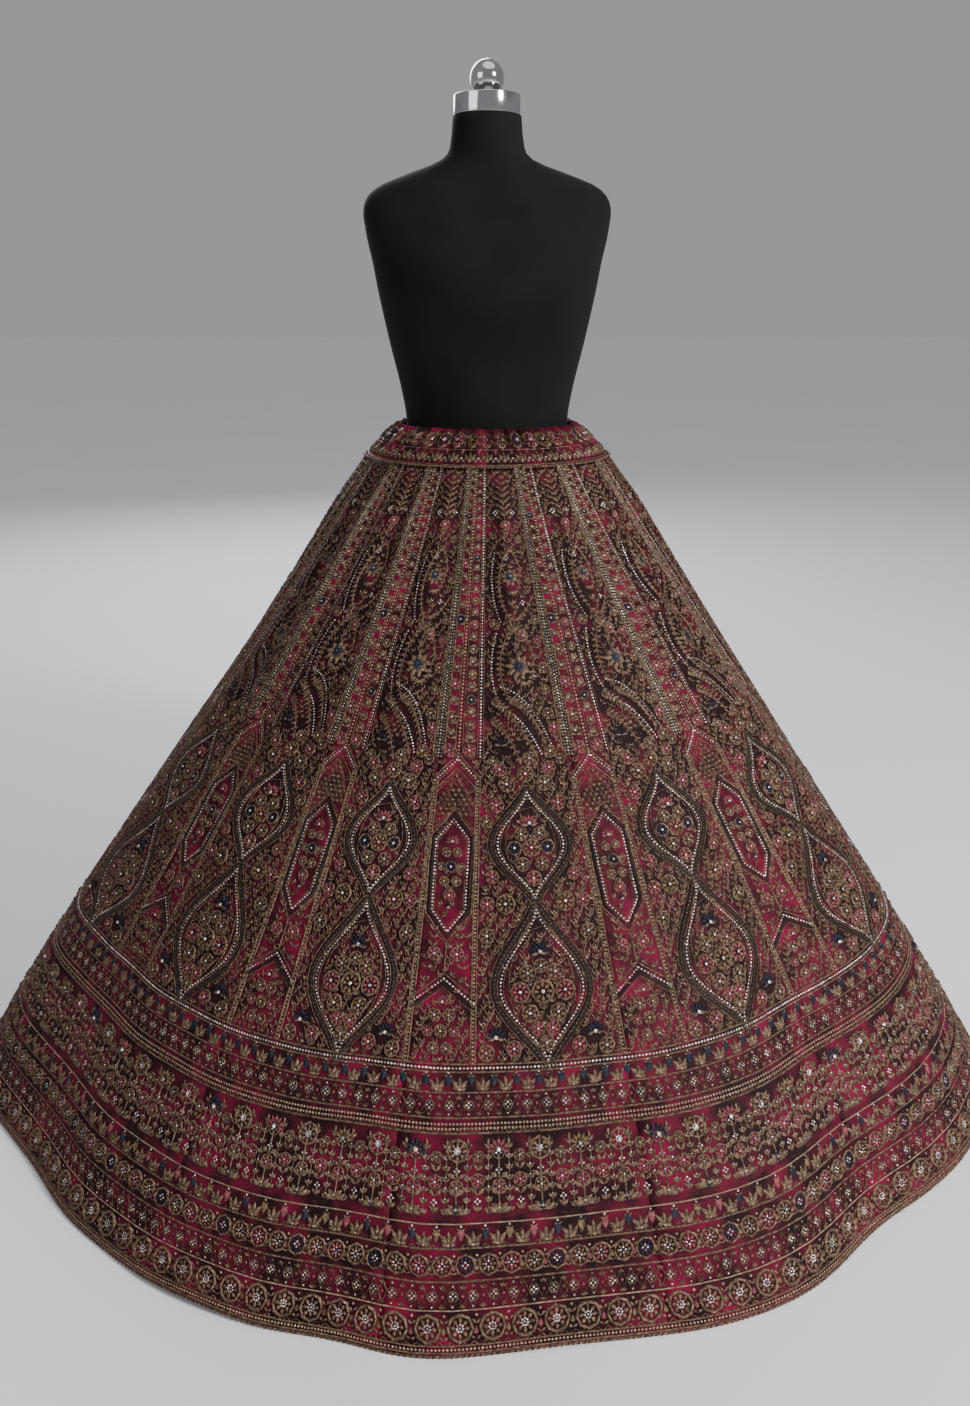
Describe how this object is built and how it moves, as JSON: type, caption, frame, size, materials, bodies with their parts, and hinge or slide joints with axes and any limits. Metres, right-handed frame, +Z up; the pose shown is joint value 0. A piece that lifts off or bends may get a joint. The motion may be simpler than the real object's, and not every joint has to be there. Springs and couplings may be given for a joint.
{
  "type": "lehenga skirt on a dress form",
  "caption": "Full-length flared lehenga skirt of embroidered velvet kali panels with a gathered waistband, standing on a limbless dress form.",
  "frame": {"origin": "middle of the flat underside of the stand's round foot, on the floor", "axes": "+Z up, the front of the skirt towards -Y, +X to the viewer's right"},
  "size_m": [1.444, 1.4951, 1.3156],
  "materials": {
    "velvet": "deep wine velvet with dense antique gold thread work, thread flowers and clear stones",
    "zari_cord": "antique gold metallic thread cord and piping",
    "form_cloth": "matt black stretch cover of the dress form",
    "chrome": "polished chrome"
  },
  "bodies": {
    "root": {"kali_01": "velvet", "kali_02": "velvet", "kali_03": "velvet", "kali_04": "velvet", "kali_05": "velvet", "kali_06": "velvet", "kali_07": "velvet", "kali_08": "velvet", "kali_09": "velvet", "kali_10": "velvet", "kali_11": "velvet", "kali_12": "velvet", "kali_13": "velvet", "kali_14": "velvet", "kali_15": "velvet", "kali_16": "velvet", "waistband": "velvet", "waist_cord": "zari_cord", "hem_piping": "zari_cord", "form_torso": "form_cloth", "form_neck_cap": "chrome", "form_ball": "chrome", "stand_pole": "chrome", "stand_foot": "chrome"}
  },
  "joints": []
}
